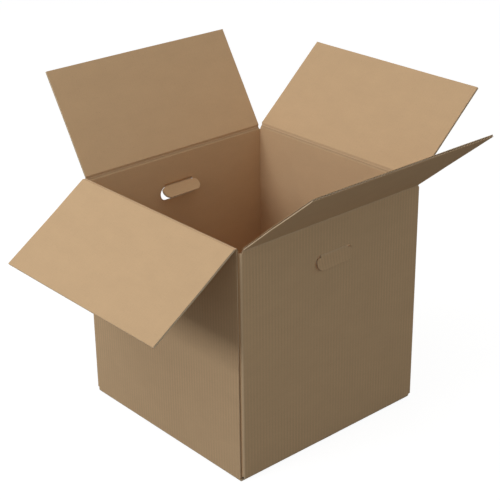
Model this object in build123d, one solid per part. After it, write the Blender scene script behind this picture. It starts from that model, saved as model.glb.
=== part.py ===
from build123d import *
import math
import os

# Driving dimensions, in millimetres and degrees
box_length = 450.0          # outside, along X, between the walls with the hand holes
box_width = 450.0           # outside, along Y
crease_height = 465.0       # from the bottom flaps' underside to the front and back creases
board = 4.0                 # single-wall corrugated board
flute_pitch = 7.35          # from one flute to the next
liner = 0.5                 # paper on each side of the flutes
medium = 0.4                # paper of the flutes
flap_length = 218.0         # from a crease to the free edge, at the top and at the bottom
major_end_gap = 6.0         # from the end of a front or back flap to the corner, top and bottom
minor_end_gap = 5.0         # from the end of a right or left top flap to the corner
inner_end_gap = 8.0         # from the end of a right or left bottom flap to the corner
slot_drop = 5.0             # from a crease down to the end of the slot between two flaps
sheet_gap = 0.2             # between flaps that lie on each other
tape_width = 50.0
tape_thickness = 0.15
glue_tab_width = 35.0
front_flap_angle = 124.0    # each top flap, outwards from upright, as it stands open
right_flap_angle = 50.3
back_flap_angle = 47.8
left_flap_angle = 31.5
hole_length = 92.0          # hand hole, with round ends
hole_height = 30.0
hole_top_drop = 69.0        # from the crease height down to the hole's upper edge
fold_length = 69.0          # of the fold that a hand hole's tab hangs from
right_tab_angle = -12.0     # each hand-hole tab, inwards from flush, so the right one stands out
left_tab_angle = 48.0

# How the board is crushed at a crease, between its outer face and the slope inside
flap_crease_slope = 44.5
tab_crease_slope = 40.0
flap_bead = 0.8             # radius of the outer liner's bead, on the crease's axis
tab_bead = 0.4
bead_clearance = 0.1
cut_width = 0.8             # the die's cut around a tab
# The tab's corners are cut back beside its fold, so that they clear the wall as it swings:
# each point is a distance beyond the fold's end and a drop below the fold
nick_points = [(0.0, 4.5), (4.4, 4.8), (8.9, 7.1)]

# How far the hollow of the board is followed in from its cut edges
flute_depth = 15.0
hole_flute_depth = 10.0
groove_depth = 3.0

# Worked out from these
floor_z = tape_thickness
inner_flap_z = floor_z + board + sheet_gap
major_crease_z = floor_z + crease_height
minor_crease_z = major_crease_z - board - sheet_gap
corner_top_z = minor_crease_z - slot_drop
corner_bottom_z = inner_flap_z + board + 1.5
half_length = box_length / 2
half_width = box_width / 2
joint_y = 2 * board - half_width
hole_top_z = major_crease_z - hole_top_drop
hole_span = (-hole_length / 2, hole_length / 2)
fold_span = (-fold_length / 2, fold_length / 2)

# The walls round the box, as turns of the front wall about Z
wall_turn = {"front": 0, "right": 90, "back": 180, "left": 270}

# Where each crease starts and ends along its wall; the right wall's starts at the glued joint
major_span = (major_end_gap - half_length, half_length - major_end_gap)
minor_span = (minor_end_gap - half_width, half_width - minor_end_gap)
inner_span = (inner_end_gap - half_width, half_width - inner_end_gap)
crease_span = {
    "front": major_span,
    "right": (joint_y, minor_span[1]),
    "back": major_span,
    "left": minor_span,
}
crease_z = {
    "front": major_crease_z,
    "right": minor_crease_z,
    "back": major_crease_z,
    "left": minor_crease_z,
}


def on_wall(name, z):
    """A wall's frame: X along it, Y inwards from its outer face, Z up from the height given."""
    distance = half_width if name in ("front", "back") else half_length
    return Rotation(0, 0, wall_turn[name]) * Pos(0, -distance, z)


def along_wall(span, *points):
    """A section in the board's thickness and height, carried along the wall over a span."""
    section = Plane.YZ * Polygon(*points, align=None)
    return Pos(span[0], 0, 0) * extrude(section, amount=span[1] - span[0], dir=(1, 0, 0))


def bead(radius, span):
    """The round bead along a crease."""
    start, end = span
    return Pos((start + end) / 2, 0, 0) * Rotation(0, 90, 0) * Cylinder(radius, end - start)


def flutes(span, rise):
    """The hollows each side of the flutes, from a cut edge across the board, up or down."""
    start, end = span
    slope = math.atan2(board - 2 * liner - medium, flute_pitch / 2)
    half_base = flute_pitch / 2 - medium / math.sin(slope) / 2
    hollow = half_base * math.tan(slope)
    steps = int((end - start) / flute_pitch) - 1
    ends = Sketch()
    for step in range(-steps, steps + 1):
        x = (start + end + step * flute_pitch) / 2
        base, tip = liner, liner + hollow
        if step % 2:
            base, tip = board - base, board - tip
        ends += Polygon((x - half_base, base), (x + half_base, base), (x, tip), align=None)
    return extrude(ends, amount=rise, dir=(0, 0, 1))


def edge_grooves(span, low, high):
    """The gap between the liners at both ends of a panel, along cuts that run with the flutes."""
    gap = Box(groove_depth, board - 2 * liner, high - low)
    middles = (span[0] + groove_depth / 2, span[1] - groove_depth / 2)
    return [Pos(x, board / 2, (low + high) / 2) * gap for x in middles]


def top_flap(name, angle):
    """A top flap, crushed to a slope at its crease and swung outwards from upright."""
    span = crease_span[name]
    root = board / math.tan(math.radians(flap_crease_slope))
    flap = along_wall(span, (0, 0), (0, flap_length), (board, flap_length), (board, root))
    flap -= bead(flap_bead + bead_clearance, span)
    flap -= Pos(0, 0, flap_length) * flutes(span, -flute_depth)
    flap -= edge_grooves(span, root + 1, flap_length)
    return on_wall(name, crease_z[name]) * Rotation(angle, 0, 0) * flap


def hole_outline(margin):
    """A hand hole in a wall's frame, hanging from the height 0 and smaller by a margin."""
    slot = SlotOverall(hole_length - 2 * margin, hole_height - 2 * margin)
    return Plane.XZ * Pos(0, -hole_height / 2) * slot


def hand_hole_tab(name, angle):
    """The die-cut piece of a hand hole, crushed at its upper edge and pushed inwards."""
    root = board / math.tan(math.radians(tab_crease_slope))
    tab = extrude(hole_outline(cut_width), amount=board, dir=(0, 1, 0))
    tab -= along_wall(hole_span, (0, 0), (0, 1), (board, 1), (board, -root))
    tab -= bead(tab_bead + bead_clearance, hole_span)
    nick_start = fold_length / 2 - cut_width / 2
    for side in (-1, 1):
        points = [(side * nick_start, 1.0)]
        points += [(side * (nick_start + beyond), -drop) for beyond, drop in nick_points]
        points += [(side * hole_length, -nick_points[-1][1]), (side * hole_length, 1.0)]
        nick = Plane.XZ * Polygon(*points, align=None)
        tab -= extrude(nick, amount=2 * board, both=True)
    tab -= Pos(0, 0, cut_width - hole_height) * flutes(fold_span, hole_flute_depth)
    return on_wall(name, hole_top_z) * Rotation(angle, 0, 0) * tab


def wall_ring():
    """The walls seen from above: three folded corners, and the glued joint at the fourth."""
    ring = fillet(Rectangle(box_length, box_width).vertices(), board)
    ring -= Rectangle(box_length - 2 * board, box_width - 2 * board)
    ring -= Pos(half_length, -half_width) * Rectangle(2 * major_end_gap, 4 * board)
    fold_centre = Pos(half_length - board, joint_y)
    quarter = Rectangle(board, board, align=(Align.MIN, Align.MAX))
    return ring + fold_centre * (Circle(board) & quarter)


def glue_tab():
    """The end of the sheet, folded on from the right wall and glued inside the front wall."""
    taper = glue_tab_width / 3
    fold_x = half_length - board
    free_x = fold_x - glue_tab_width
    low, high = corner_bottom_z, corner_top_z
    outline = Polygon((fold_x, low), (fold_x, high), (free_x, high - taper), (free_x, low + taper), align=None)
    return Pos(0, board - half_width, 0) * extrude(Plane.XZ * outline, amount=board, dir=(0, 1, 0))


def bottom_flap(name, span, flap_z):
    """A bottom flap with the round fold that joins it to the foot of its wall."""
    foot = Polyline((0, board), (0, 3 * board), (board, 3 * board), (board, board), (flap_length, board),
                    (flap_length, 0), (board, 0))
    fold = RadiusArc((board, 0), (0, board), board)
    section = Plane.YZ * make_face(foot.edges() + fold.edges())
    flap = Pos(span[0], 0, 0) * extrude(section, amount=span[1] - span[0], dir=(1, 0, 0))
    lying = Pos(0, 0, board) * Rotation(-90, 0, 0)
    flap -= [lying * groove for groove in edge_grooves(span, 2 * board, flap_length)]
    return on_wall(name, flap_z) * flap


def wall_crease(name):
    """The top of a wall, crushed to a slope under its flap, with the bead on the outer face."""
    span = crease_span[name]
    root = board / math.tan(math.radians(flap_crease_slope))
    low = corner_top_z - crease_z[name] - board
    top = along_wall(span, (0, low), (0, 0), (board, -root), (board, low))
    return on_wall(name, crease_z[name]) * (top + bead(flap_bead, span))


def hand_hole(name):
    """What a hand hole takes out of its wall: the hole, the crushed fold and the open flutes."""
    root = board / math.tan(math.radians(tab_crease_slope))
    cut = Pos(0, -board, 0) * extrude(hole_outline(0), amount=3 * board, dir=(0, 1, 0))
    cut += along_wall(fold_span, (0, 0), (board, root), (board + 1, root), (board + 1, -1), (0, -1))
    cut += Pos(0, 0, -hole_height) * flutes(fold_span, -hole_flute_depth)
    return on_wall(name, hole_top_z) * cut


def box_body():
    """The walls, the glued joint and the closed bottom flaps: one folded sheet."""
    body = extrude(Pos(0, 0, corner_bottom_z) * wall_ring(), amount=corner_top_z - corner_bottom_z)
    body += glue_tab()
    for name in wall_turn:
        body += wall_crease(name)
    for name in ("front", "back"):
        body += bottom_flap(name, major_span, floor_z)
    for name in ("right", "left"):
        body += bottom_flap(name, inner_span, inner_flap_z)
        body -= hand_hole(name)
        body += on_wall(name, hole_top_z) * bead(tab_bead, fold_span)
    raw_edge_x = major_span[1] - groove_depth / 2
    joint_gap = Box(groove_depth, board - 2 * liner, corner_top_z - 4 * board)
    body -= Pos(raw_edge_x, board / 2 - half_width, crease_height / 2) * joint_gap
    return body


def bottom_tape():
    """The strip of paper tape over the seam between the outer bottom flaps."""
    tape_length = major_span[1] - major_span[0]
    return Box(tape_length, tape_width, tape_thickness, align=(Align.CENTER, Align.CENTER, Align.MIN))


pieces = {
    "box_body": box_body(),
    "bottom_tape": bottom_tape(),
    "front_top_flap": top_flap("front", front_flap_angle),
    "right_top_flap": top_flap("right", right_flap_angle),
    "back_top_flap": top_flap("back", back_flap_angle),
    "left_top_flap": top_flap("left", left_flap_angle),
    "right_hand_hole_tab": hand_hole_tab("right", right_tab_angle),
    "left_hand_hole_tab": hand_hole_tab("left", left_tab_angle),
}

os.makedirs("parts", exist_ok=True)
for name, piece in pieces.items():
    export_step(piece, f"parts/{name}.step")
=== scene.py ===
import math

import bmesh
import bpy
from mathutils import Matrix, Quaternion, Vector, noise


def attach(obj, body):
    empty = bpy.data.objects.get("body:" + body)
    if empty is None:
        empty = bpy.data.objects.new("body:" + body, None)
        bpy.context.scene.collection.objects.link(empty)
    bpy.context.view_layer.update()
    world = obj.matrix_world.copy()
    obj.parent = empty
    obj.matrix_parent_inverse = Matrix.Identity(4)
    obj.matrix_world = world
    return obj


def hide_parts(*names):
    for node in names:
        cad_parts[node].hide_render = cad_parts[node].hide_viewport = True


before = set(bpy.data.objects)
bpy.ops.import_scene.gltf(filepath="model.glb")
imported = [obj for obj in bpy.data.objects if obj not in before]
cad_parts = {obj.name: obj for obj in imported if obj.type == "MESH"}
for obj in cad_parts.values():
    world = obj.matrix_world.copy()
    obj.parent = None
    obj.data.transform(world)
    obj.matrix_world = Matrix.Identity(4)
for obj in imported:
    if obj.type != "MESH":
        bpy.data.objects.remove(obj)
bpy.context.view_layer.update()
print("frame loaded:", len(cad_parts), "nodes")

# The corrugated board, in metres: two liners and the fluted medium between them
board = {
    "thickness": 0.004,
    "liner": 0.0005,
    "medium": 0.0008,          # twice the solids' 0.4 mm, so that the flute ends show from afar
    "flutePitch": 0.00735,
    "stepsPerFlute": 8,
    "unevenness": 0.0007,      # how far a panel strays from flat
    "unevenSize": 0.16,
    "calmEdge": 0.06,          # stretch beside a fold over which a panel comes back to flat
    "crushBlend": 0.14,        # softness of the shoulder above a crushed slope
    "sharpAngle": 32,          # degrees between two faces, from which their edge looks sharp
}

# The sheet and its folds; the slots at the corners end at cornerTop and cornerBottom
carton = {
    "side": 0.450,
    "cornerTop": 0.45595,
    "cornerBottom": 0.00985,
    "jointStart": -0.217,      # where the right wall turns into the glue tab
    "glueTab": 0.035,
    "flapLength": 0.218,
    "creaseSlope": 44.5,
    "creaseBead": 0.0008,
    "cornerZone": 0.008,       # stretch of flat sheet that rounds a corner
    "cornerRub": 0.004,        # how far from a corner's middle the paper is rubbed
    "foldMiddle": 0.8,         # radians round a fold to where it is rubbed most
    "grooveReach": 1.25,       # how far a crease marks the paper, in lengths of its slope
    # lightening of a crease's rubbed outer face, and the painted highlight on a flap's root
    "creaseRubAndHighlight": 0.6,
}

# The walls in their order along the flat sheet: turn about Z, crease height and span, bottom flap
walls = [
    {
        "name": "right", "turn": 90, "crease": 0.46095, "span": (-0.217, 0.220),
        "bottom": 0.00435, "foot": (-0.217, 0.217),
    },
    {
        "name": "back", "turn": 180, "crease": 0.46515, "span": (-0.219, 0.219),
        "bottom": 0.00015, "foot": (-0.219, 0.219),
    },
    {
        "name": "left", "turn": 270, "crease": 0.46095, "span": (-0.220, 0.220),
        "bottom": 0.00435, "foot": (-0.217, 0.217),
    },
    {
        "name": "front", "turn": 0, "crease": 0.46515, "span": (-0.219, 0.219),
        "bottom": 0.00015, "foot": (-0.219, 0.219),
    },
]

# How far each top flap stands open, outwards from upright, and how its free edge curls inwards
topFlaps = {
    "front": {"angle": 124.0, "curl": -0.0008},
    "right": {"angle": 50.3, "curl": 0.0006},
    "back": {"angle": 47.8, "curl": -0.0008},
    "left": {"angle": 31.5, "curl": 0.0010},
}

handHole = {
    "walls": ("right", "left"),
    "length": 0.092,
    "height": 0.030,
    "foldLength": 0.069,
    "top": 0.39615,
    "slope": 40.0,             # of the crushed board over the fold
    "bead": 0.0004,
    "cut": 0.0008,             # the die's cut round the tab
    # the corners cut back beside the fold: points beyond its end, and down
    "nickStart": 0.0341,
    "nickPoints": ((0.0, 0.0045), (0.0044, 0.0048), (0.0089, 0.0071)),
    "angle": {"right": -12.0, "left": 48.0},    # inwards from flush
    "twist": {"right": 4.0, "left": 0.0},       # how much more one end stands out than the middle
    "roundSteps": 50,
    "endFade": 0.001,          # how quickly the crushing over the fold stops past its ends
    "rub": 0.005,              # how far down from the fold the tab is rubbed
}

tape = {"length": 0.438, "width": 0.050, "thickness": 0.00015, "seam": 0.014, "columns": 20}

half = carton["side"] / 2
thickness = board["thickness"]
creaseRoot = thickness / math.tan(math.radians(carton["creaseSlope"]))
holeRoot = thickness / math.tan(math.radians(handHole["slope"]))
holeStraight = handHole["length"] - handHole["height"]
foldEnd = handHole["foldLength"] / 2
bottomZone = thickness * math.pi / 2
footLength = carton["flapLength"] - thickness

# Where rows of points lie across a crushed slope, in lengths of that slope
creaseSteps = (0.22, 0.45, 0.7, 0.86, 0.93, 1.0, 1.07, 1.14, 1.3)
holeSteps = (0, 0.25, 0.5, 0.8, 0.9, 1.0, 1.1, 1.2)
roundFoldSteps = 8


def wallNamed(name):
    return next(wall for wall in walls if wall["name"] == name)


def wallMatrix(wall, height=0.0):
    # a wall's own frame: X along it, Y inwards from its outer face, Z up
    turn = Matrix.Rotation(math.radians(wall["turn"]), 4, "Z")
    return turn @ Matrix.Translation((0, -half, height))


def steps(start, end, count):
    return [start + (end - start) * step / count for step in range(count + 1)]


def crushed(distance, root):
    # share of its thickness that the board keeps at a distance from a crease,
    # with a soft shoulder where the slope reaches the board's face
    steep = max(distance / root, 0.0)
    blend = board["crushBlend"]
    mix = min(max(0.5 + 0.5 * (1 - steep) / blend, 0.0), 1.0)
    return max((1 - mix) + steep * mix - blend * mix * (1 - mix), 0.0)


def unevenness(along, up):
    place = Vector((along, up, 0)) / board["unevenSize"]
    return board["unevenness"] * noise.noise(place)


# Layers of flat sheet: X along the sheet, Y up it, Z in from the outer face

def linerLayer(along, up, low, high, linesAlong, linesUp):
    layer = bmesh.new()
    middle = Vector((sum(along) / 2, sum(up) / 2, low))
    size = Vector((along[1] - along[0], up[1] - up[0], 1))
    place = Matrix.Translation(middle) @ Matrix.Diagonal(size).to_4x4()
    bmesh.ops.create_grid(layer, x_segments=1, y_segments=1, size=0.5, matrix=place)
    for line in linesAlong:
        geometry = layer.verts[:] + layer.edges[:] + layer.faces[:]
        bmesh.ops.bisect_plane(layer, geom=geometry, plane_co=(line, 0, 0), plane_no=(1, 0, 0))
    for line in linesUp:
        geometry = layer.verts[:] + layer.edges[:] + layer.faces[:]
        bmesh.ops.bisect_plane(layer, geom=geometry, plane_co=(0, line, 0), plane_no=(0, 1, 0))
    raised = bmesh.ops.extrude_face_region(layer, geom=layer.faces[:])["geom"]
    newVerts = [item for item in raised if isinstance(item, bmesh.types.BMVert)]
    bmesh.ops.translate(layer, verts=newVerts, vec=(0, 0, high - low))
    bmesh.ops.recalc_face_normals(layer, faces=layer.faces[:])
    return layer


def fluteLayer(along, up, linesUp):
    layer = bmesh.new()
    columns = round((along[1] - along[0]) / board["flutePitch"] * board["stepsPerFlute"])
    middle = Vector((sum(along) / 2, sum(up) / 2, 0))
    size = Vector((along[1] - along[0], up[1] - up[0], 1))
    place = Matrix.Translation(middle) @ Matrix.Diagonal(size).to_4x4()
    bmesh.ops.create_grid(layer, x_segments=columns, y_segments=1, size=0.5, matrix=place)
    for line in linesUp:
        geometry = layer.verts[:] + layer.edges[:] + layer.faces[:]
        bmesh.ops.bisect_plane(layer, geom=geometry, plane_co=(0, line, 0), plane_no=(0, 1, 0))
    swing = thickness / 2 - board["liner"] - board["medium"] / 2
    for vert in layer.verts:
        wave = math.cos(2 * math.pi * vert.co.x / board["flutePitch"])
        vert.co.z = thickness / 2 + swing * wave
    bmesh.ops.solidify(layer, geom=layer.faces[:], thickness=board["medium"])
    bmesh.ops.recalc_face_normals(layer, faces=layer.faces[:])
    lowest = min(vert.co.z for vert in layer.verts)
    highest = max(vert.co.z for vert in layer.verts)
    bmesh.ops.translate(layer, verts=layer.verts[:], vec=(0, 0, (thickness - lowest - highest) / 2))
    return layer


def sheetLayers(along, up, linesAlong, linesUp, linesFlutes):
    # the outer liner, the fluted medium and the inner liner
    inner = thickness - board["liner"]
    return [
        linerLayer(along, up, 0, board["liner"], linesAlong, linesUp),
        fluteLayer(along, up, linesFlutes),
        linerLayer(along, up, inner, thickness, linesAlong, linesUp),
    ]


# The die's cutting shapes, through the whole thickness of the flat sheet

def raisePrism(die, face):
    raised = bmesh.ops.extrude_face_region(die, geom=[face])["geom"]
    newVerts = [item for item in raised if isinstance(item, bmesh.types.BMVert)]
    bmesh.ops.translate(die, verts=newVerts, vec=(0, 0, 3 * thickness))


def cutPolygon(die, points):
    face = die.faces.new([die.verts.new((along, up, -thickness)) for along, up in points])
    raisePrism(die, face)


def cutHandHole(die, along, top, margin):
    radius = handHole["height"] / 2 - margin
    near = 0.001
    circle = bmesh.ops.create_circle(die, cap_ends=True, segments=handHole["roundSteps"], radius=radius)
    rim = circle["verts"]
    for vert in rim:
        vert.co.x += math.copysign(holeStraight / 2, vert.co.x)
        if vert.co.y > 0 and abs(vert.co.x) < foldEnd + near:
            # the fold runs straight, a little past the round ends' centres
            vert.co.y = handHole["height"] / 2
            if abs(vert.co.x) > foldEnd - near:
                vert.co.x = math.copysign(foldEnd, vert.co.x)
    middle = (along, top - handHole["height"] / 2, -thickness)
    bmesh.ops.translate(die, verts=rim, vec=middle)
    raisePrism(die, rim[0].link_faces[0])


def dieCut(layer, die, operation="DIFFERENCE"):
    bmesh.ops.recalc_face_normals(die, faces=die.faces[:])
    made = []
    for name, source in (("layer", layer), ("die", die)):
        mesh = bpy.data.meshes.new(name)
        source.to_mesh(mesh)
        made.append(bpy.data.objects.new(name, mesh))
        bpy.context.scene.collection.objects.link(made[-1])
    cut = made[0].modifiers.new("cut", "BOOLEAN")
    cut.operation = operation
    cut.solver = "EXACT"
    cut.object = made[1]
    layer.clear()
    layer.from_object(made[0], bpy.context.evaluated_depsgraph_get())
    for thing in made:
        bpy.data.meshes.remove(thing.data)


# Folding: each point of the flat sheet goes to its place, and keeps its flat place as its UV

layerShift = 3.0               # between the layers' UVs, so that their patterns differ
tapeShift = 12.0


def markFlat(layer, shift):
    places = layer.loops.layers.uv.new("UVMap")
    for face in layer.faces:
        for loop in face.loops:
            loop[places].uv = (loop.vert.co.x + shift, loop.vert.co.y)


def foldLayer(layer, folded):
    crease = layer.verts.layers.float.new("crease")
    for vert in layer.verts:
        place, wearAndPaintedLight = folded(vert.co)
        vert.co = place
        vert[crease] = wearAndPaintedLight
    bmesh.ops.remove_doubles(layer, verts=layer.verts[:], dist=2e-6)
    bmesh.ops.dissolve_degenerate(layer, edges=layer.edges[:], dist=1e-6)


def addBead(beads, matrix, radius, span, flat):
    # the round ridge of paper along a crease's axis, which the flap's root turns about
    rod = bmesh.new()
    turn = Matrix.Translation((sum(span) / 2, 0, 0)) @ Matrix.Rotation(math.radians(90), 4, "Y")
    bmesh.ops.create_cone(rod, cap_ends=True, segments=16, radius1=radius, radius2=radius,
                          depth=span[1] - span[0], matrix=turn)
    places = rod.loops.layers.uv.new("UVMap")
    crease = rod.verts.layers.float.new("crease")
    for face in rod.faces:
        for loop in face.loops:
            loop[places].uv = (flat[0] + loop.vert.co.x, flat[1] + loop.vert.co.z)
    for vert in rod.verts:
        vert[crease] = 1.0
    bmesh.ops.transform(rod, matrix=matrix, verts=rod.verts[:])
    beads.append(rod)


def makePiece(name, layers, materials, body, node):
    joined = bmesh.new()
    for layer, material in layers:
        for face in layer.faces:
            face.material_index = material
        part = bpy.data.meshes.new("part")
        layer.to_mesh(part)
        joined.from_mesh(part)
        bpy.data.meshes.remove(part)
        layer.free()
    mesh = bpy.data.meshes.new(name)
    joined.to_mesh(mesh)
    joined.free()
    for material in materials:
        mesh.materials.append(material)
    mesh.shade_smooth()
    mesh.set_sharp_from_angle(angle=math.radians(board["sharpAngle"]))
    piece = bpy.data.objects.new(name, mesh)
    bpy.context.scene.collection.objects.link(piece)
    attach(piece, body)
    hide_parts(node)
    print("made", name, len(mesh.polygons), "faces")
    return piece


# Materials

def newMaterial(name):
    material = bpy.data.materials.new(name)
    material.use_nodes = True
    nodes = material.node_tree.nodes
    nodes.clear()
    output = nodes.new("ShaderNodeOutputMaterial")
    shader = nodes.new("ShaderNodeBsdfPrincipled")
    material.node_tree.links.new(shader.outputs["BSDF"], output.inputs["Surface"])
    return material, shader


def mathNode(tree, operation, first, second=None):
    node = tree.nodes.new("ShaderNodeMath")
    node.operation = operation
    for socket, value in zip(node.inputs, (first, second)):
        if isinstance(value, (int, float)):
            socket.default_value = value
        elif value is not None:
            tree.links.new(value, socket)
    return node.outputs[0]


def mixNode(tree, share, first, second, blend="MIX"):
    node = tree.nodes.new("ShaderNodeMix")
    node.data_type = "RGBA"
    node.blend_type = blend
    for socket, value in ((node.inputs[0], share), (node.inputs[6], first), (node.inputs[7], second)):
        if isinstance(value, (int, float, tuple)):
            socket.default_value = value
        else:
            tree.links.new(value, socket)
    return node.outputs[2]


def noiseNode(tree, place, scale, detail, roughness=0.5):
    node = tree.nodes.new("ShaderNodeTexNoise")
    node.inputs["Scale"].default_value = scale
    node.inputs["Detail"].default_value = detail
    node.inputs["Roughness"].default_value = roughness
    tree.links.new(place, node.inputs["Vector"])
    return node.outputs["Fac"]


def rangeNode(tree, value, low, high, newLow=0.0, newHigh=1.0):
    node = tree.nodes.new("ShaderNodeMapRange")
    for socket, setting in zip(node.inputs[1:5], (low, high, newLow, newHigh)):
        socket.default_value = setting
    tree.links.new(value, node.inputs[0])
    return node.outputs[0]


def stretchNode(tree, place, scale):
    node = tree.nodes.new("ShaderNodeMapping")
    node.inputs["Scale"].default_value = scale
    tree.links.new(place, node.inputs["Vector"])
    return node.outputs[0]


# The paper's patterns: size per metre, and how each is stretched along the sheet and up it
paperGrain = {
    "cloud": {"scale": 26, "stretch": (0.6, 1.0, 1.0), "detail": 4, "roughness": 0.6},
    "streak": {"scale": 240, "stretch": (0.22, 1.6, 1.0), "detail": 3, "roughness": 0.6},
    "fibre": {"scale": 1500, "stretch": (0.35, 1.5, 1.0), "detail": 2, "roughness": 0.7},
    "speck": {"scale": 620, "stretch": (0.5, 1.4, 1.0), "detail": 1, "roughness": 0.5},
}
paperSpecks = {
    "dark": (0.19, 0.11, 0.055, 1),
    "darkShare": 0.35,
    "pale": (0.70, 0.56, 0.39, 1),
    "paleShare": 0.22,
}


def grainNode(tree, place, grain):
    stretched = stretchNode(tree, place, grain["stretch"])
    return noiseNode(tree, stretched, grain["scale"], grain["detail"], grain["roughness"])


def makePaperGroup():
    # fibres, cloudy patches and specks of brown paper, on a flat place in metres
    group = bpy.data.node_groups.new("brownPaper", "ShaderNodeTree")
    face = group.interface
    face.new_socket("Place", in_out="INPUT", socket_type="NodeSocketVector")
    face.new_socket("Color", in_out="INPUT", socket_type="NodeSocketColor")
    face.new_socket("Cloud", in_out="INPUT", socket_type="NodeSocketFloat")
    face.new_socket("Fibre", in_out="INPUT", socket_type="NodeSocketFloat")
    face.new_socket("Color", in_out="OUTPUT", socket_type="NodeSocketColor")
    face.new_socket("Height", in_out="OUTPUT", socket_type="NodeSocketFloat")
    start = group.nodes.new("NodeGroupInput")
    end = group.nodes.new("NodeGroupOutput")
    place = start.outputs["Place"]
    cloudTone = rangeNode(group, grainNode(group, place, paperGrain["cloud"]), 0.3, 0.7, -1, 1)
    streakTone = rangeNode(group, grainNode(group, place, paperGrain["streak"]), 0.3, 0.7, -0.55, 0.55)
    fibreTone = rangeNode(group, grainNode(group, place, paperGrain["fibre"]), 0.25, 0.75, -1, 1)
    speck = grainNode(group, place, paperGrain["speck"])
    broad = mathNode(group, "ADD", cloudTone, streakTone)
    coarse = mathNode(group, "MULTIPLY", broad, start.outputs["Cloud"])
    fine = mathNode(group, "MULTIPLY", fibreTone, start.outputs["Fibre"])
    tone = mathNode(group, "ADD", mathNode(group, "ADD", coarse, fine), 1.0)
    shaded = mixNode(group, 1.0, start.outputs["Color"], tone, "MULTIPLY")
    dark = mathNode(group, "MULTIPLY", rangeNode(group, speck, 0.70, 0.78), paperSpecks["darkShare"])
    pale = mathNode(group, "MULTIPLY", rangeNode(group, speck, 0.30, 0.23), paperSpecks["paleShare"])
    specked = mixNode(group, dark, shaded, paperSpecks["dark"])
    group.links.new(mixNode(group, pale, specked, paperSpecks["pale"]), end.inputs["Color"])
    height = mathNode(group, "ADD", fibreTone, mathNode(group, "MULTIPLY", streakTone, 0.8))
    group.links.new(height, end.inputs["Height"])
    return group


def paperMaterial(name, group, look):
    material, shader = newMaterial(name)
    tree = material.node_tree
    flat = tree.nodes.new("ShaderNodeUVMap")
    flat.uv_map = "UVMap"
    place = flat.outputs["UV"]
    paper = tree.nodes.new("ShaderNodeGroup")
    paper.node_tree = group
    paper.inputs["Color"].default_value = look["color"]
    paper.inputs["Cloud"].default_value = look["cloud"]
    paper.inputs["Fibre"].default_value = look["fibre"]
    tree.links.new(place, paper.inputs["Place"])
    color = paper.outputs["Color"]
    height = mathNode(tree, "MULTIPLY", paper.outputs["Height"], look["fibreHeight"])
    if look["washboard"]:
        # the liner waves a little over the flutes, and its colour is darker in stripes along them
        split = tree.nodes.new("ShaderNodeSeparateXYZ")
        tree.links.new(place, split.inputs[0])
        turns = mathNode(tree, "MULTIPLY", split.outputs["X"], 2 * math.pi / board["flutePitch"])
        wave = mathNode(tree, "COSINE", turns)
        patch = rangeNode(tree, noiseNode(tree, place, 9, 2), 0.35, 0.68, 0.25, 1.0)
        wave = mathNode(tree, "MULTIPLY", wave, patch)
        stripes = mathNode(tree, "ADD", mathNode(tree, "MULTIPLY", wave, look["washboardTone"]), 1.0)
        color = mixNode(tree, 1.0, color, stripes, "MULTIPLY")
        height = mathNode(tree, "ADD", height, mathNode(tree, "MULTIPLY", wave, look["washboard"]))
    crease = tree.nodes.new("ShaderNodeAttribute")
    crease.attribute_name = "crease"
    patchyNoise = noiseNode(tree, stretchNode(tree, place, (1.0, 2.0, 1.0)), 420, 3)
    # the lighter colour goes on rubbed paper and on the painted highlight at the flaps' roots
    rubAndHighlight = mathNode(tree, "MAXIMUM", crease.outputs["Fac"], 0.0)
    wearAndPaintedLight = mathNode(tree, "MULTIPLY", rubAndHighlight, rangeNode(tree, patchyNoise, 0.35, 0.65, 0.35, 1.0))
    color = mixNode(tree, mathNode(tree, "MULTIPLY", wearAndPaintedLight, look["wearAndHighlight"]), color, look["wornAndHighlightColor"])
    # painted shade: darker down in the groove inside a crease, where shade falls
    groove = mathNode(tree, "MAXIMUM", mathNode(tree, "MULTIPLY", crease.outputs["Fac"], -1.0), 0.0)
    shade = mathNode(tree, "SUBTRACT", 1.0, mathNode(tree, "MULTIPLY", groove, look["creasePaintedShade"]))
    color = mixNode(tree, 1.0, color, shade, "MULTIPLY")
    tree.links.new(color, shader.inputs["Base Color"])
    smoothest, roughest = look["roughness"] - 0.06, look["roughness"] + 0.05
    rough = rangeNode(tree, noiseNode(tree, place, 90, 3), 0.3, 0.7, smoothest, roughest)
    tree.links.new(rough, shader.inputs["Roughness"])
    bump = tree.nodes.new("ShaderNodeBump")
    bump.inputs["Strength"].default_value = 1.0
    bump.inputs["Distance"].default_value = 1.0
    tree.links.new(height, bump.inputs["Height"])
    tree.links.new(bump.outputs["Normal"], shader.inputs["Normal"])
    shader.inputs["Specular IOR Level"].default_value = look["specular"]
    return material


# Looks of the paper: shares of tone, and heights in metres
outerLook = {
    "color": (0.60, 0.376, 0.203, 1),
    "cloud": 0.022,
    "fibre": 0.07,
    "fibreHeight": 0.000006,
    "washboard": 0.00010,      # the liner's waves over the flutes
    "washboardTone": 0.06,
    # share of the lighter colour on rubbed paper and on the painted highlight at the flaps' roots
    "wearAndHighlight": 0.5,
    "creasePaintedShade": 0.26,       # painted shade: how much darker the paper is painted down in a crease
    "wornAndHighlightColor": (0.62, 0.46, 0.30, 1),
    "roughness": 0.78,
    "specular": 0.03,
}
innerLook = dict(outerLook, washboard=0.000012, washboardTone=0.006)
plainLook = dict(outerLook, washboard=0, wearAndHighlight=0.0)
mediumLook = dict(plainLook, color=(0.68, 0.50, 0.32, 1), cloud=0.06, fibre=0.12)
tapeLook = dict(plainLook, color=(0.40, 0.255, 0.135, 1), roughness=0.5, specular=0.45)

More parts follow.
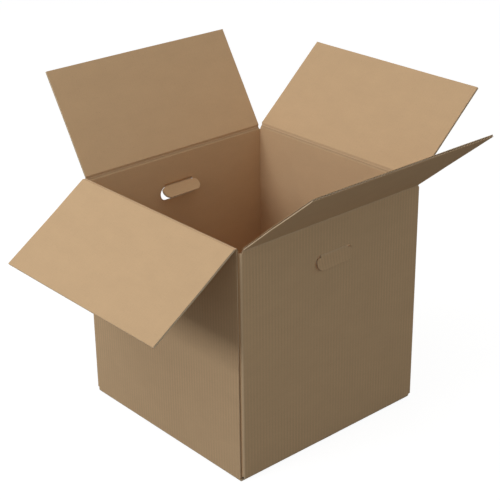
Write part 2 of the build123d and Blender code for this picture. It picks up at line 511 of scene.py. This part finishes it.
paperGroup = makePaperGroup()
outerPaper = paperMaterial("outerLiner", paperGroup, outerLook)
mediumPaper = paperMaterial("flutedMedium", paperGroup, mediumLook)
innerPaper = paperMaterial("innerLiner", paperGroup, innerLook)
tapePaper = paperMaterial("paperTape", paperGroup, tapeLook)
boardMaterials = [outerPaper, mediumPaper, innerPaper]
print("materials made")


# The body: glue tab, four walls and four bottom flaps, one sheet folded round

def roundFold(beyond, zone, depth):
    # beyond a round fold's start on the flat sheet: the angle turned, and how far the point lies
    # on along the sheet and in from the outer face
    angle = min(beyond / zone, 1) * math.pi / 2
    radius = thickness - depth
    inwards = thickness - radius * math.cos(angle) + max(0.0, beyond - zone)
    return angle, radius * math.sin(angle), inwards


def foldRub(angle):
    return max(0.0, 1 - abs(angle - carton["foldMiddle"]) / carton["foldMiddle"])


def creaseMark(distance, depth):
    # positive where the outer face is rubbed at a crease (on a flap's root it is a painted highlight),
    # negative for painted shade down in the groove inside
    groove = 1 - distance / (carton["grooveReach"] * creaseRoot)
    if groove <= 0:
        return 0.0
    return carton["creaseRubAndHighlight"] * groove if depth < thickness / 2 else -min(2 * groove, 1)


def foldedBody(flat):
    # the place of a point of the flat sheet on the folded box, and how rubbed it is there, with painted
    # shade down in the groove inside a crease
    along, up, depth = flat
    index = 0
    while index < 3 and along > carton["side"] * (index + 1) - half + thickness:
        index += 1
    wall = walls[index]
    across = along - carton["side"] * index
    matrix = wallMatrix(wall)
    cornerStart = half - thickness
    jointStart = carton["jointStart"]
    if index == 0 and across < jointStart:
        angle, onwards, inwards = roundFold(jointStart - across, carton["cornerZone"], depth)
        return matrix @ Vector((jointStart - onwards, inwards, up)), foldRub(angle)
    wearAndPaintedLight = 0.0
    if abs(across) > cornerStart - carton["cornerRub"]:
        toCorner = min(abs(along - carton["side"] * corner - half) for corner in range(3))
        wearAndPaintedLight = max(0.0, 1 - toCorner / carton["cornerRub"])
    if across > cornerStart:
        angle, onwards, inwards = roundFold(across - cornerStart, carton["cornerZone"], depth)
        return matrix @ Vector((cornerStart + onwards, inwards, up)), wearAndPaintedLight
    foldTop = wall["bottom"] + thickness
    if up < foldTop:
        angle, onwards, inwards = roundFold(foldTop - up, bottomZone, depth)
        return matrix @ Vector((across, inwards, foldTop - onwards)), foldRub(angle)
    underCrease = wall["crease"] - up
    share = crushed(underCrease, creaseRoot)
    overHole = up - handHole["top"]
    if wall["name"] in handHole["walls"] and overHole > -1e-6:
        pastFold = (abs(across) - foldEnd) / handHole["endFade"]
        fade = min(max(1 - pastFold, 0), 1)
        share = min(share, 1 - fade * (1 - crushed(overHole, holeRoot)))
    calm = min(underCrease, up - foldTop, cornerStart - abs(across)) / board["calmEdge"]
    bow = unevenness(along, up) * min(max(calm, 0.0), 1)
    wearAndPaintedLight = creaseMark(underCrease, depth) or wearAndPaintedLight
    return matrix @ Vector((across, depth * share + bow, up)), wearAndPaintedLight


def footLevel(wall):
    # where a bottom flap ends on the flat sheet
    return wall["bottom"] + thickness - bottomZone - footLength


def blankOutline():
    # the sheet as the die cuts it: slots between the flaps, and the tapered glue tab
    top, bottom = carton["cornerTop"], carton["cornerBottom"]
    upper, lower = [], []
    for index, wall in enumerate(walls):
        middle = carton["side"] * index
        start, end = (middle + across for across in wall["span"])
        upper += [(start, top), (start, wall["crease"]), (end, wall["crease"]), (end, top)]
        start, end = (middle + across for across in wall["foot"])
        lower += [(start, bottom), (start, footLevel(wall)), (end, footLevel(wall)), (end, bottom)]
    fold = carton["jointStart"] - carton["cornerZone"]
    end = fold - carton["glueTab"]
    taper = carton["glueTab"] / 3
    tab = [(fold, bottom), (end, bottom + taper), (end, top - taper), (fold, top)]
    die = bmesh.new()
    cutPolygon(die, tab + upper + lower[::-1])
    return die


def handHoleDie():
    die = bmesh.new()
    for index, wall in enumerate(walls):
        if wall["name"] in handHole["walls"]:
            cutHandHole(die, carton["side"] * index, handHole["top"], 0)
    return die


def bodyLines():
    # where the flat sheet is divided along it and up it, so that it can fold and bow
    columns, rows, margin = 13, 12, 0.03
    start = carton["jointStart"]
    linesAlong = steps(start - carton["cornerZone"], start, roundFoldSteps)
    for index, wall in enumerate(walls):
        middle = carton["side"] * index
        corner = middle + half - thickness
        linesAlong += steps(middle - half + margin, middle + half - margin, columns)
        linesAlong += steps(corner, corner + carton["cornerZone"], roundFoldSteps)
        if wall["name"] in handHole["walls"]:
            for side in (-1, 1):
                end = middle + side * foldEnd
                linesAlong += [end, end + side * handHole["endFade"]]
    creaseRows, footRows = [], []
    for wall in walls[:2]:
        foldTop = wall["bottom"] + thickness
        footRows += steps(foldTop - bottomZone, foldTop, roundFoldSteps)
        creaseRows += [wall["crease"] - creaseRoot * share for share in creaseSteps]
    holeRows = [handHole["top"] + holeRoot * share for share in holeSteps]
    linesUp = creaseRows + footRows + holeRows
    wallRows, flapRows = steps(0.04, 0.44, rows), steps(-0.18, -0.03, rows // 3)
    linesUp += wallRows + flapRows
    fluteRows = creaseRows[::3] + footRows[::2] + holeRows[::2]
    return linesAlong, linesUp, fluteRows


def makeBody():
    spare = 0.001
    along = (carton["jointStart"] - carton["cornerZone"] - carton["glueTab"] - spare,
             3 * carton["side"] + walls[3]["span"][1] + spare)
    up = (footLevel(walls[1]) - spare, walls[1]["crease"] + spare)
    dressed = []
    for number, layer in enumerate(sheetLayers(along, up, *bodyLines())):
        dieCut(layer, blankOutline(), "INTERSECT")
        dieCut(layer, handHoleDie())
        markFlat(layer, layerShift * number)
        foldLayer(layer, foldedBody)
        dressed.append((layer, number))
    beads = []
    for index, wall in enumerate(walls):
        flat = (carton["side"] * index, wall["crease"])
        addBead(beads, wallMatrix(wall, wall["crease"]), carton["creaseBead"], wall["span"], flat)
        if wall["name"] in handHole["walls"]:
            fold = (-foldEnd, foldEnd)
            flat = (carton["side"] * index, handHole["top"])
            addBead(beads, wallMatrix(wall, handHole["top"]), handHole["bead"], fold, flat)
    dressed += [(rod, 0) for rod in beads]
    return makePiece("foldedBody", dressed, boardMaterials, "box", "box_body")


makeBody()


# The top flaps, each crushed at its root and turned about its crease

beadOverlap = 0.75             # a flap or tab starts inside its bead, at this share of its radius
calmRoot = 0.08                # stretch from its crease over which a flap starts to bow
curlWidth = 1.3                # radians of the curl's wave from a flap's middle to its corner


def makeTopFlap(name):
    wall = wallNamed(name)
    flap = topFlaps[name]
    middle = carton["side"] * walls.index(wall)
    length = carton["flapLength"]
    start = beadOverlap * carton["creaseBead"]
    along = (middle + wall["span"][0], middle + wall["span"][1])
    hinge = wallMatrix(wall, wall["crease"]) @ Matrix.Rotation(math.radians(flap["angle"]), 4, "X")
    # the flaps that close first bow inwards and the two over them outwards, so none cross
    bowSide = math.copysign(1, flap["curl"])

    def foldedFlap(flat):
        out = flat.y - wall["crease"]
        share = crushed(out, creaseRoot)
        across = flat.x - middle
        calm = min(max(out / calmRoot, 0), 1) ** 2
        curve = flap["curl"] * (out / length) ** 2 * math.cos(curlWidth * across / half)
        bow = calm * (bowSide * (board["unevenness"] + unevenness(flat.x, flat.y)) + curve)
        # painted highlight: with depth 0, both faces of the flap's root are painted lighter in place of
        # the light on its crushed slope
        wearAndPaintedLight = creaseMark(out, 0)
        return hinge @ Vector((across, flat.z * share + bow, out)), wearAndPaintedLight

    rootRows = [wall["crease"] + creaseRoot * share for share in creaseSteps]
    columns, rows, fluteStops, margin, fluteMargin = 14, 8, 3, 0.02, 0.05
    up = (wall["crease"] + start, wall["crease"] + length)
    linesUp = rootRows + steps(wall["crease"] + margin, up[1] - margin, rows)
    linesAlong = steps(along[0] + margin, along[1] - margin, columns)
    fluteRows = rootRows[::3] + steps(wall["crease"] + fluteMargin, up[1] - fluteMargin, fluteStops)
    dressed = []
    for number, layer in enumerate(sheetLayers(along, up, linesAlong, linesUp, fluteRows)):
        markFlat(layer, layerShift * number)
        foldLayer(layer, foldedFlap)
        dressed.append((layer, number))
    body = name + "_top_flap"
    return makePiece(name + "TopFlap", dressed, boardMaterials, body, body)


for flapName in topFlaps:
    makeTopFlap(flapName)


# The tabs die-cut out of the hand holes, one pushed inwards and one standing out

def makeHandHoleTab(name):
    wall = wallNamed(name)
    middle = carton["side"] * walls.index(wall)
    top = handHole["top"]
    hinge = wallMatrix(wall, top) @ Matrix.Rotation(math.radians(handHole["angle"][name]), 4, "X")
    start = beadOverlap * handHole["bead"]
    along = (middle - handHole["length"] / 2, middle + handHole["length"] / 2)
    up = (top - handHole["height"], top - start)

    def foldedTab(flat):
        out = top - flat.y
        across = flat.x - middle
        share = crushed(out, holeRoot)
        wearAndPaintedLight = max(0.0, 1 - out / handHole["rub"])
        twist = Matrix.Rotation(math.radians(handHole["twist"][name] * across / foldEnd), 4, "X")
        return hinge @ twist @ Vector((across, flat.z * share, -out)), wearAndPaintedLight

    outline = bmesh.new()
    cutHandHole(outline, middle, top, handHole["cut"])
    nicks = bmesh.new()
    for side in (-1, 1):
        corner, far = middle + side * handHole["nickStart"], middle + side * handHole["length"]
        points = [(corner, top + thickness)]
        points += [(corner + side * beyond, top - drop) for beyond, drop in handHole["nickPoints"]]
        points += [(far, points[-1][1]), (far, top + thickness)]
        cutPolygon(nicks, points)
    columns, margin = 8, 0.01
    rootRows = [top - holeRoot * share for share in holeSteps[1:]]
    linesAlong = steps(along[0] + margin, along[1] - margin, columns)
    dressed = []
    for number, layer in enumerate(sheetLayers(along, up, linesAlong, rootRows, rootRows[::2])):
        dieCut(layer, outline, "INTERSECT")
        dieCut(layer, nicks)
        markFlat(layer, layerShift * number)
        foldLayer(layer, foldedTab)
        dressed.append((layer, number))
    body = name + "_hand_hole_tab"
    return makePiece(name + "HandHoleTab", dressed, boardMaterials, body, body)


for tabWall in handHole["walls"]:
    makeHandHoleTab(tabWall)


# The strip of paper tape over the seam of the bottom flaps

def makeTape():
    long, wide = tape["length"] / 2, tape["width"] / 2
    columns = steps(-long, long, tape["columns"])[1:-1]
    seam = [-tape["seam"] / 2, tape["seam"] / 2]
    strip = linerLayer((-long, long), (-wide, wide), 0, tape["thickness"], columns, seam)
    markFlat(strip, tapeShift)
    strip.verts.layers.float.new("crease")
    return makePiece("bottomTape", [(strip, 0)], [tapePaper], "box", "bottom_tape")


makeTape()


# Floor, background and light

studio = {
    "floorSize": 12.0,
    "floorColor": (0.19, 0.18, 0.17, 1),
    "floorFill": 0.92,
    "horizonColor": (0.92, 1.08, 1.26, 1),
    "zenithColor": (1.03, 1.0, 0.95, 1),
    "horizon": 0.30,
    "zenith": 0.43,
}

# Soft lamps: watts, size, distance and direction from the place they are turned to
lamps = {
    "highSoftbox": {
        "power": 8, "size": 0.9, "distance": 2.0, "color": (0.92, 1.07, 1.22),
        "from": (-0.42, -0.50, 0.76), "at": (0.0, -0.2, 0.42),
    },
    "lowSoftbox": {
        "power": 54, "size": 1.2, "distance": 4.0, "color": (0.93, 1.06, 1.19),
        "from": (-0.10, -0.90, 0.42), "at": (0.0, -0.2, 0.30),
    },
    "sideFill": {
        "power": 15, "size": 1.4, "distance": 3.5, "color": (0.90, 1.09, 1.18),
        "from": (0.85, -0.25, 0.40), "at": (0.2, 0.0, 0.25),
    },
    "topSoftbox": {
        "power": 6, "size": 1.0, "distance": 2.4, "color": (1.0, 1.0, 1.0),
        "from": (0.08, -0.04, 1.0), "at": (0.0, 0.0, 0.40),
    },
}


def makeFloor():
    sheet = bmesh.new()
    bmesh.ops.create_grid(sheet, x_segments=1, y_segments=1, size=studio["floorSize"] / 2)
    mesh = bpy.data.meshes.new("studioFloor")
    sheet.to_mesh(mesh)
    sheet.free()
    floor = bpy.data.objects.new("studioFloor", mesh)
    bpy.context.scene.collection.objects.link(floor)
    material = bpy.data.materials.new("studioFloor")
    material.use_nodes = True
    tree = material.node_tree
    tree.nodes.clear()
    output = tree.nodes.new("ShaderNodeOutputMaterial")
    cloth = tree.nodes.new("ShaderNodeBsdfDiffuse")
    cloth.inputs["Color"].default_value = studio["floorColor"]
    glow = tree.nodes.new("ShaderNodeEmission")
    path = tree.nodes.new("ShaderNodeLightPath")
    seen = mathNode(tree, "MAXIMUM", path.outputs["Is Camera Ray"], path.outputs["Is Glossy Ray"])
    tree.links.new(mathNode(tree, "MULTIPLY", seen, studio["floorFill"]), glow.inputs["Strength"])
    both = tree.nodes.new("ShaderNodeAddShader")
    tree.links.new(cloth.outputs[0], both.inputs[0])
    tree.links.new(glow.outputs[0], both.inputs[1])
    tree.links.new(both.outputs[0], output.inputs["Surface"])
    mesh.materials.append(material)


def makeWorld():
    # brighter and warmer straight above than at the horizon, and white to the camera
    world = bpy.data.worlds.new("studioWorld")
    bpy.context.scene.world = world
    world.use_nodes = True
    tree = world.node_tree
    tree.nodes.clear()
    output = tree.nodes.new("ShaderNodeOutputWorld")
    back = tree.nodes.new("ShaderNodeBackground")
    path = tree.nodes.new("ShaderNodeLightPath")
    seen = mathNode(tree, "MAXIMUM", path.outputs["Is Camera Ray"], path.outputs["Is Glossy Ray"])
    direction = tree.nodes.new("ShaderNodeSeparateXYZ")
    tree.links.new(tree.nodes.new("ShaderNodeTexCoord").outputs["Generated"], direction.inputs[0])
    sky = rangeNode(tree, direction.outputs["Z"], 0, 1, studio["horizon"], studio["zenith"])
    light = mathNode(tree, "MULTIPLY", sky, mathNode(tree, "SUBTRACT", 1.0, seen))
    skyColor = mixNode(tree, direction.outputs["Z"], studio["horizonColor"], studio["zenithColor"])
    tree.links.new(mixNode(tree, seen, skyColor, (1, 1, 1, 1)), back.inputs["Color"])
    tree.links.new(mathNode(tree, "ADD", light, seen), back.inputs["Strength"])
    tree.links.new(back.outputs[0], output.inputs["Surface"])


def makeLamp(name, lamp):
    light = bpy.data.lights.new(name, "AREA")
    light.energy = lamp["power"]
    light.size = lamp["size"]
    light.color = lamp["color"]
    stand = bpy.data.objects.new(name, light)
    direction = Vector(lamp["from"]).normalized()
    stand.location = Vector(lamp["at"]) + direction * lamp["distance"]
    stand.rotation_mode = "QUATERNION"
    stand.rotation_quaternion = direction.to_track_quat("Z", "Y")
    bpy.context.scene.collection.objects.link(stand)


makeFloor()
makeWorld()
for lampName, lampValues in lamps.items():
    makeLamp(lampName, lampValues)

# The camera stands where the photographer stood

shot = {
    "azimuth": 48.85,
    "elevation": 24.615,
    "roll": -0.699,
    "place": (1.7533, -1.5358, 1.3879),
    "lens": 95.58,
    "sensor": 36.0,
}


def makeCamera():
    turn, rise = math.radians(shot["azimuth"]), math.radians(shot["elevation"])
    back = Vector((math.sin(turn) * math.cos(rise), -math.cos(turn) * math.cos(rise), math.sin(rise)))
    lens = bpy.data.cameras.new("photoCamera")
    lens.lens = shot["lens"]
    lens.sensor_width = shot["sensor"]
    camera = bpy.data.objects.new("photoCamera", lens)
    camera.location = shot["place"]
    camera.rotation_mode = "QUATERNION"
    level = back.to_track_quat("Z", "Y")
    camera.rotation_quaternion = level @ Quaternion((0, 0, 1), math.radians(shot["roll"]))
    bpy.context.scene.collection.objects.link(camera)
    bpy.context.scene.camera = camera


makeCamera()
bpy.context.scene.view_settings.view_transform = "Standard"
print("stage, light and camera made")
